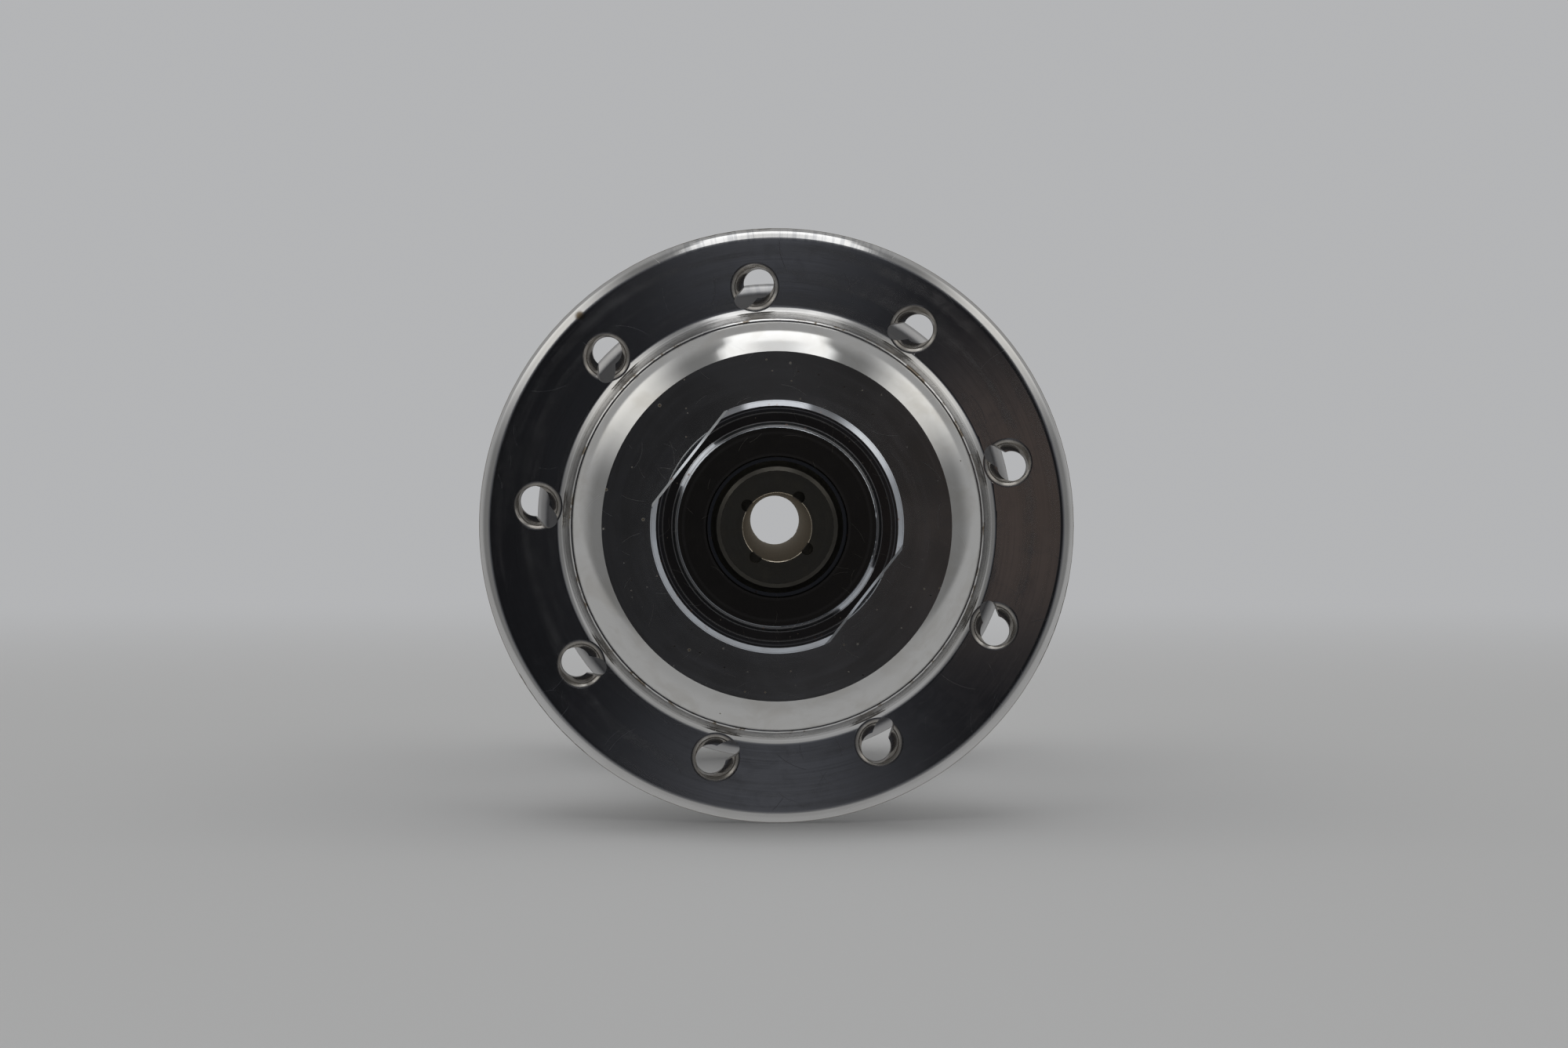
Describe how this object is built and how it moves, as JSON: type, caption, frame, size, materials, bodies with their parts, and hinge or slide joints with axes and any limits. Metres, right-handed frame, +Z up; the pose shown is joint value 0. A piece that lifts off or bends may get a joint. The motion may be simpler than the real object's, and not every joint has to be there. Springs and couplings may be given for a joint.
{
  "type": "bicycle front hub assembly",
  "caption": "Quick-release bicycle front hub: a polished alloy shell with slotted spoke flanges turns on sealed ball bearings round a hollow axle held by end nuts.",
  "frame": {"origin": "centre of the hub, on the axle's axis half way between the two fork faces", "axes": "+Y along the wheel axis towards the left fork arm, +Z up, +X across"},
  "size_m": [0.0472, 0.108, 0.0472],
  "materials": {
    "polished_alloy": "mirror polished, lightly worn",
    "cap_alloy": "turned and polished, fine circular marks",
    "axle_steel": "dark turned steel",
    "nut_steel": "turned, polished, slightly tarnished",
    "bearing_steel": "ground",
    "ball_steel": "polished",
    "cage_brass": "pressed",
    "seal_rubber": "matt",
    "spacer_alloy": "turned"
  },
  "bodies": {
    "axle_assembly": {"axle": "axle_steel", "race_spacer_left": "spacer_alloy", "race_spacer_right": "spacer_alloy", "end_nut_left": "nut_steel", "end_nut_right": "nut_steel", "bearing_inner_race_left": "bearing_steel", "bearing_inner_race_right": "bearing_steel"},
    "shell_assembly": {"hub_shell": "polished_alloy", "bearing_cap_left": "cap_alloy", "lip_seal_left": "seal_rubber", "bearing_outer_race_left": "bearing_steel", "bearing_seal_outboard_left": "seal_rubber", "bearing_seal_inboard_left": "seal_rubber", "bearing_cap_right": "cap_alloy", "lip_seal_right": "seal_rubber", "bearing_outer_race_right": "bearing_steel", "bearing_seal_outboard_right": "seal_rubber", "bearing_seal_inboard_right": "seal_rubber"},
    "ball_set_left": {"bearing_balls_left": "ball_steel", "bearing_cage_left": "cage_brass"},
    "ball_set_right": {"bearing_balls_right": "ball_steel", "bearing_cage_right": "cage_brass"}
  },
  "joints": [
    {"name": "shell_spin", "type": "hinge", "parent": "axle_assembly", "child": "shell_assembly", "pos_m": [0, 0, 0], "axis": [0, 1, 0], "continuous": true},
    {"name": "ball_orbit_left", "type": "hinge", "parent": "axle_assembly", "child": "ball_set_left", "pos_m": [0, 0.0325, 0], "axis": [0, 1, 0], "continuous": true},
    {"name": "ball_orbit_right", "type": "hinge", "parent": "axle_assembly", "child": "ball_set_right", "pos_m": [0, -0.0325, 0], "axis": [0, 1, 0], "continuous": true}
  ],
  "couplings": [
    {"joint": "ball_orbit_left", "follows": "shell_spin", "ratio": 0.619},
    {"joint": "ball_orbit_right", "follows": "shell_spin", "ratio": 0.619}
  ]
}
